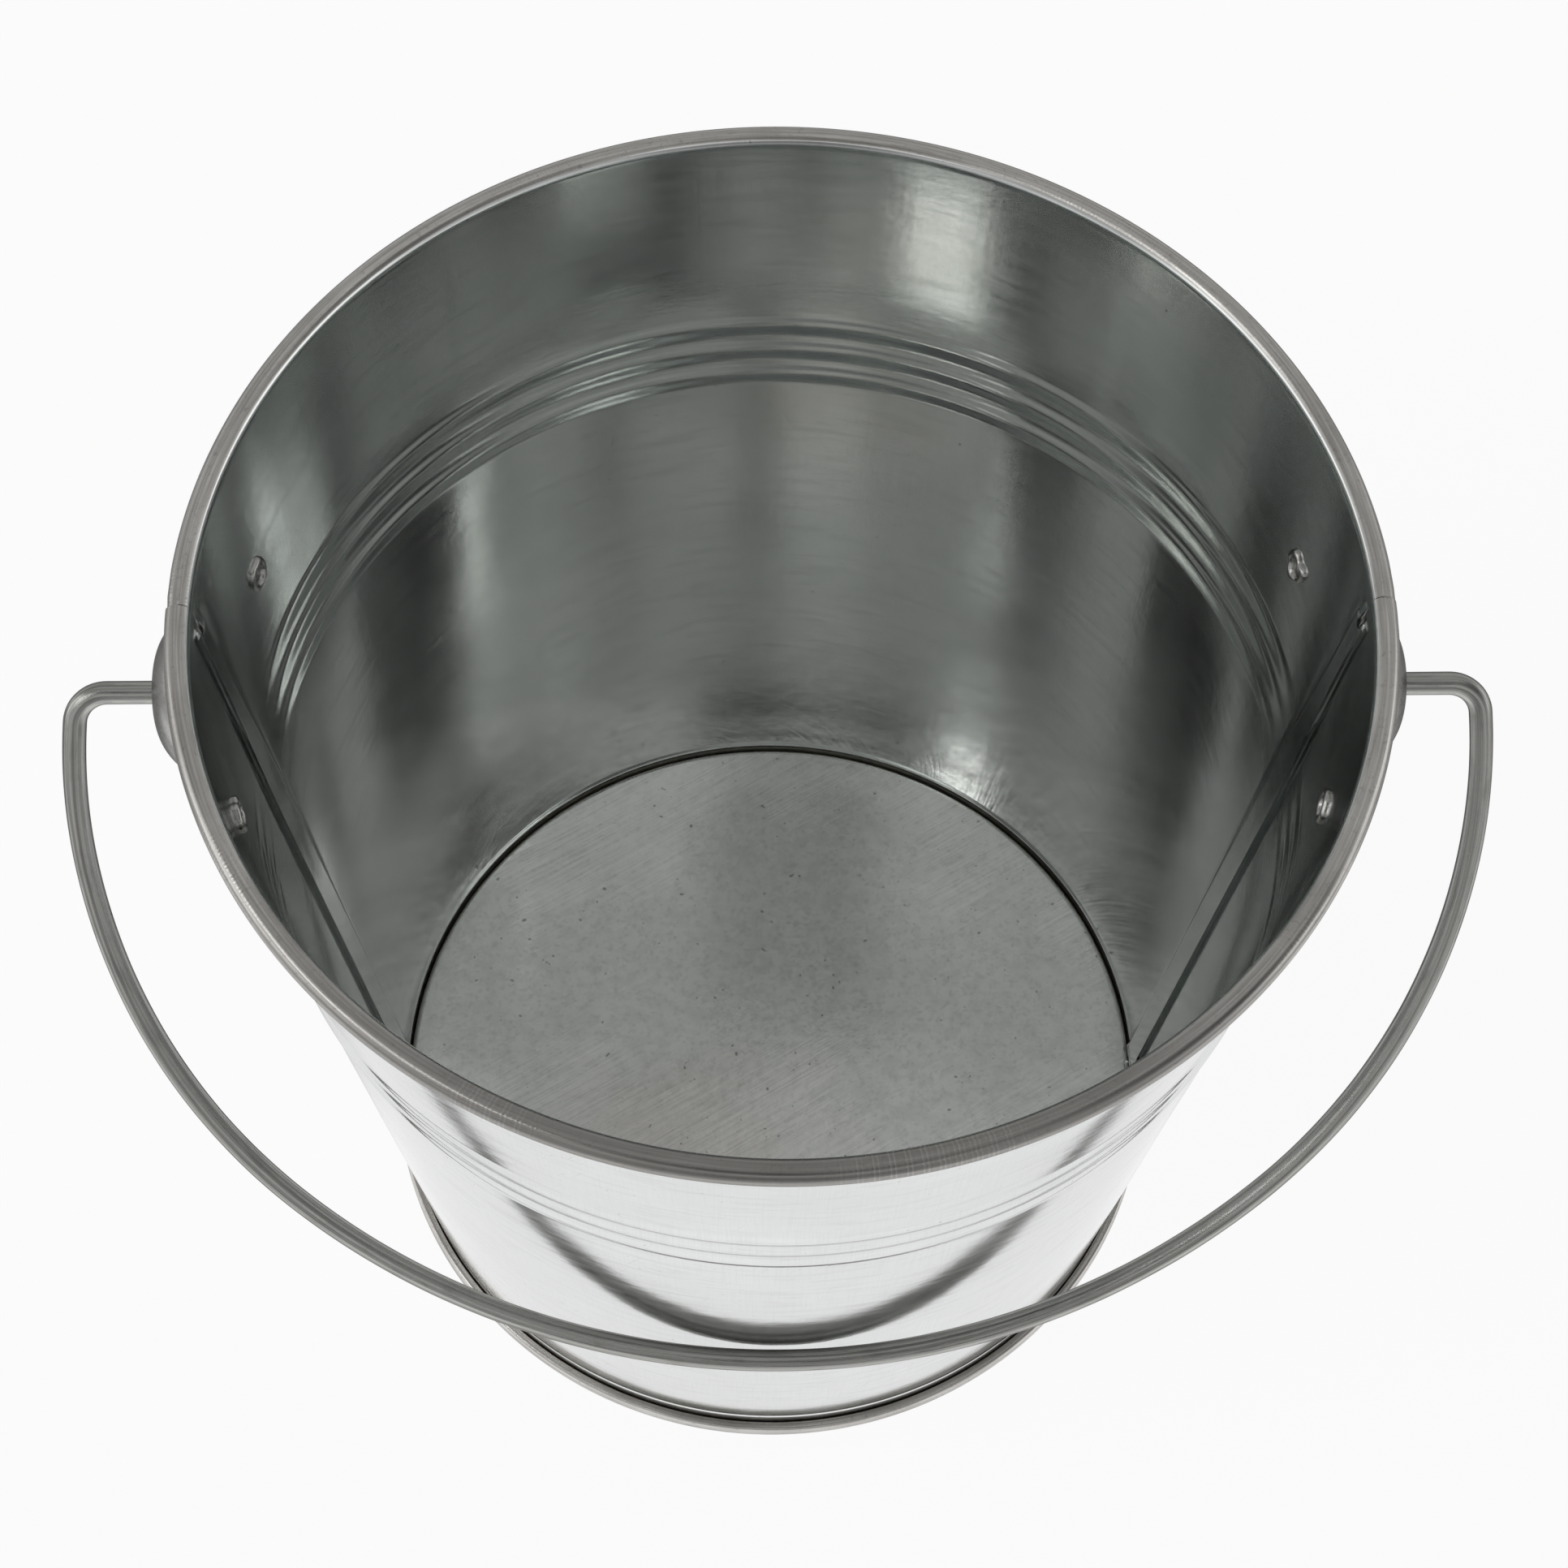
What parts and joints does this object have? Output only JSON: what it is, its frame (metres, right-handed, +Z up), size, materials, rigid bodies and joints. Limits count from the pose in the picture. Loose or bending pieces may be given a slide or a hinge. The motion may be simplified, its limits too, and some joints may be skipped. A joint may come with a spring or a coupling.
{
  "type": "florist bucket",
  "caption": "Small tapered galvanised bucket with rolled rim, swaged beads, folded side seams, riveted domed ears and a swinging wire bail.",
  "frame": {"origin": "centre of the foot ring on the surface the bucket stands on", "axes": "+Z up along the bucket's axis, +X through the right ear along the bail's pivot axis, -Y towards the side the bail rests on"},
  "size_m": [0.1838, 0.15, 0.145],
  "materials": {
    "galvanised_sheet": "bright galvanised sheet, lightly brushed",
    "bottom_sheet": "galvanised sheet, mottled and scratched",
    "ear_steel": "pressed galvanised steel, satin",
    "rivet_steel": "plated steel, rolled tails",
    "bail_wire": "drawn galvanised wire"
  },
  "bodies": {
    "bucket": {"body_front_half": "galvanised_sheet", "body_back_half": "galvanised_sheet", "bottom_disc": "bottom_sheet", "ear_left": "ear_steel", "ear_right": "ear_steel", "rivet_left_front": "rivet_steel", "rivet_left_back": "rivet_steel", "rivet_right_front": "rivet_steel", "rivet_right_back": "rivet_steel"},
    "bail": {"bail_handle": "bail_wire"}
  },
  "joints": [
    {"name": "bail_swing", "type": "hinge", "parent": "bucket", "child": "bail", "pos_m": [0, 0, 0.124], "axis": [-1, 0, 0], "range_deg": [0, 275.5]}
  ]
}
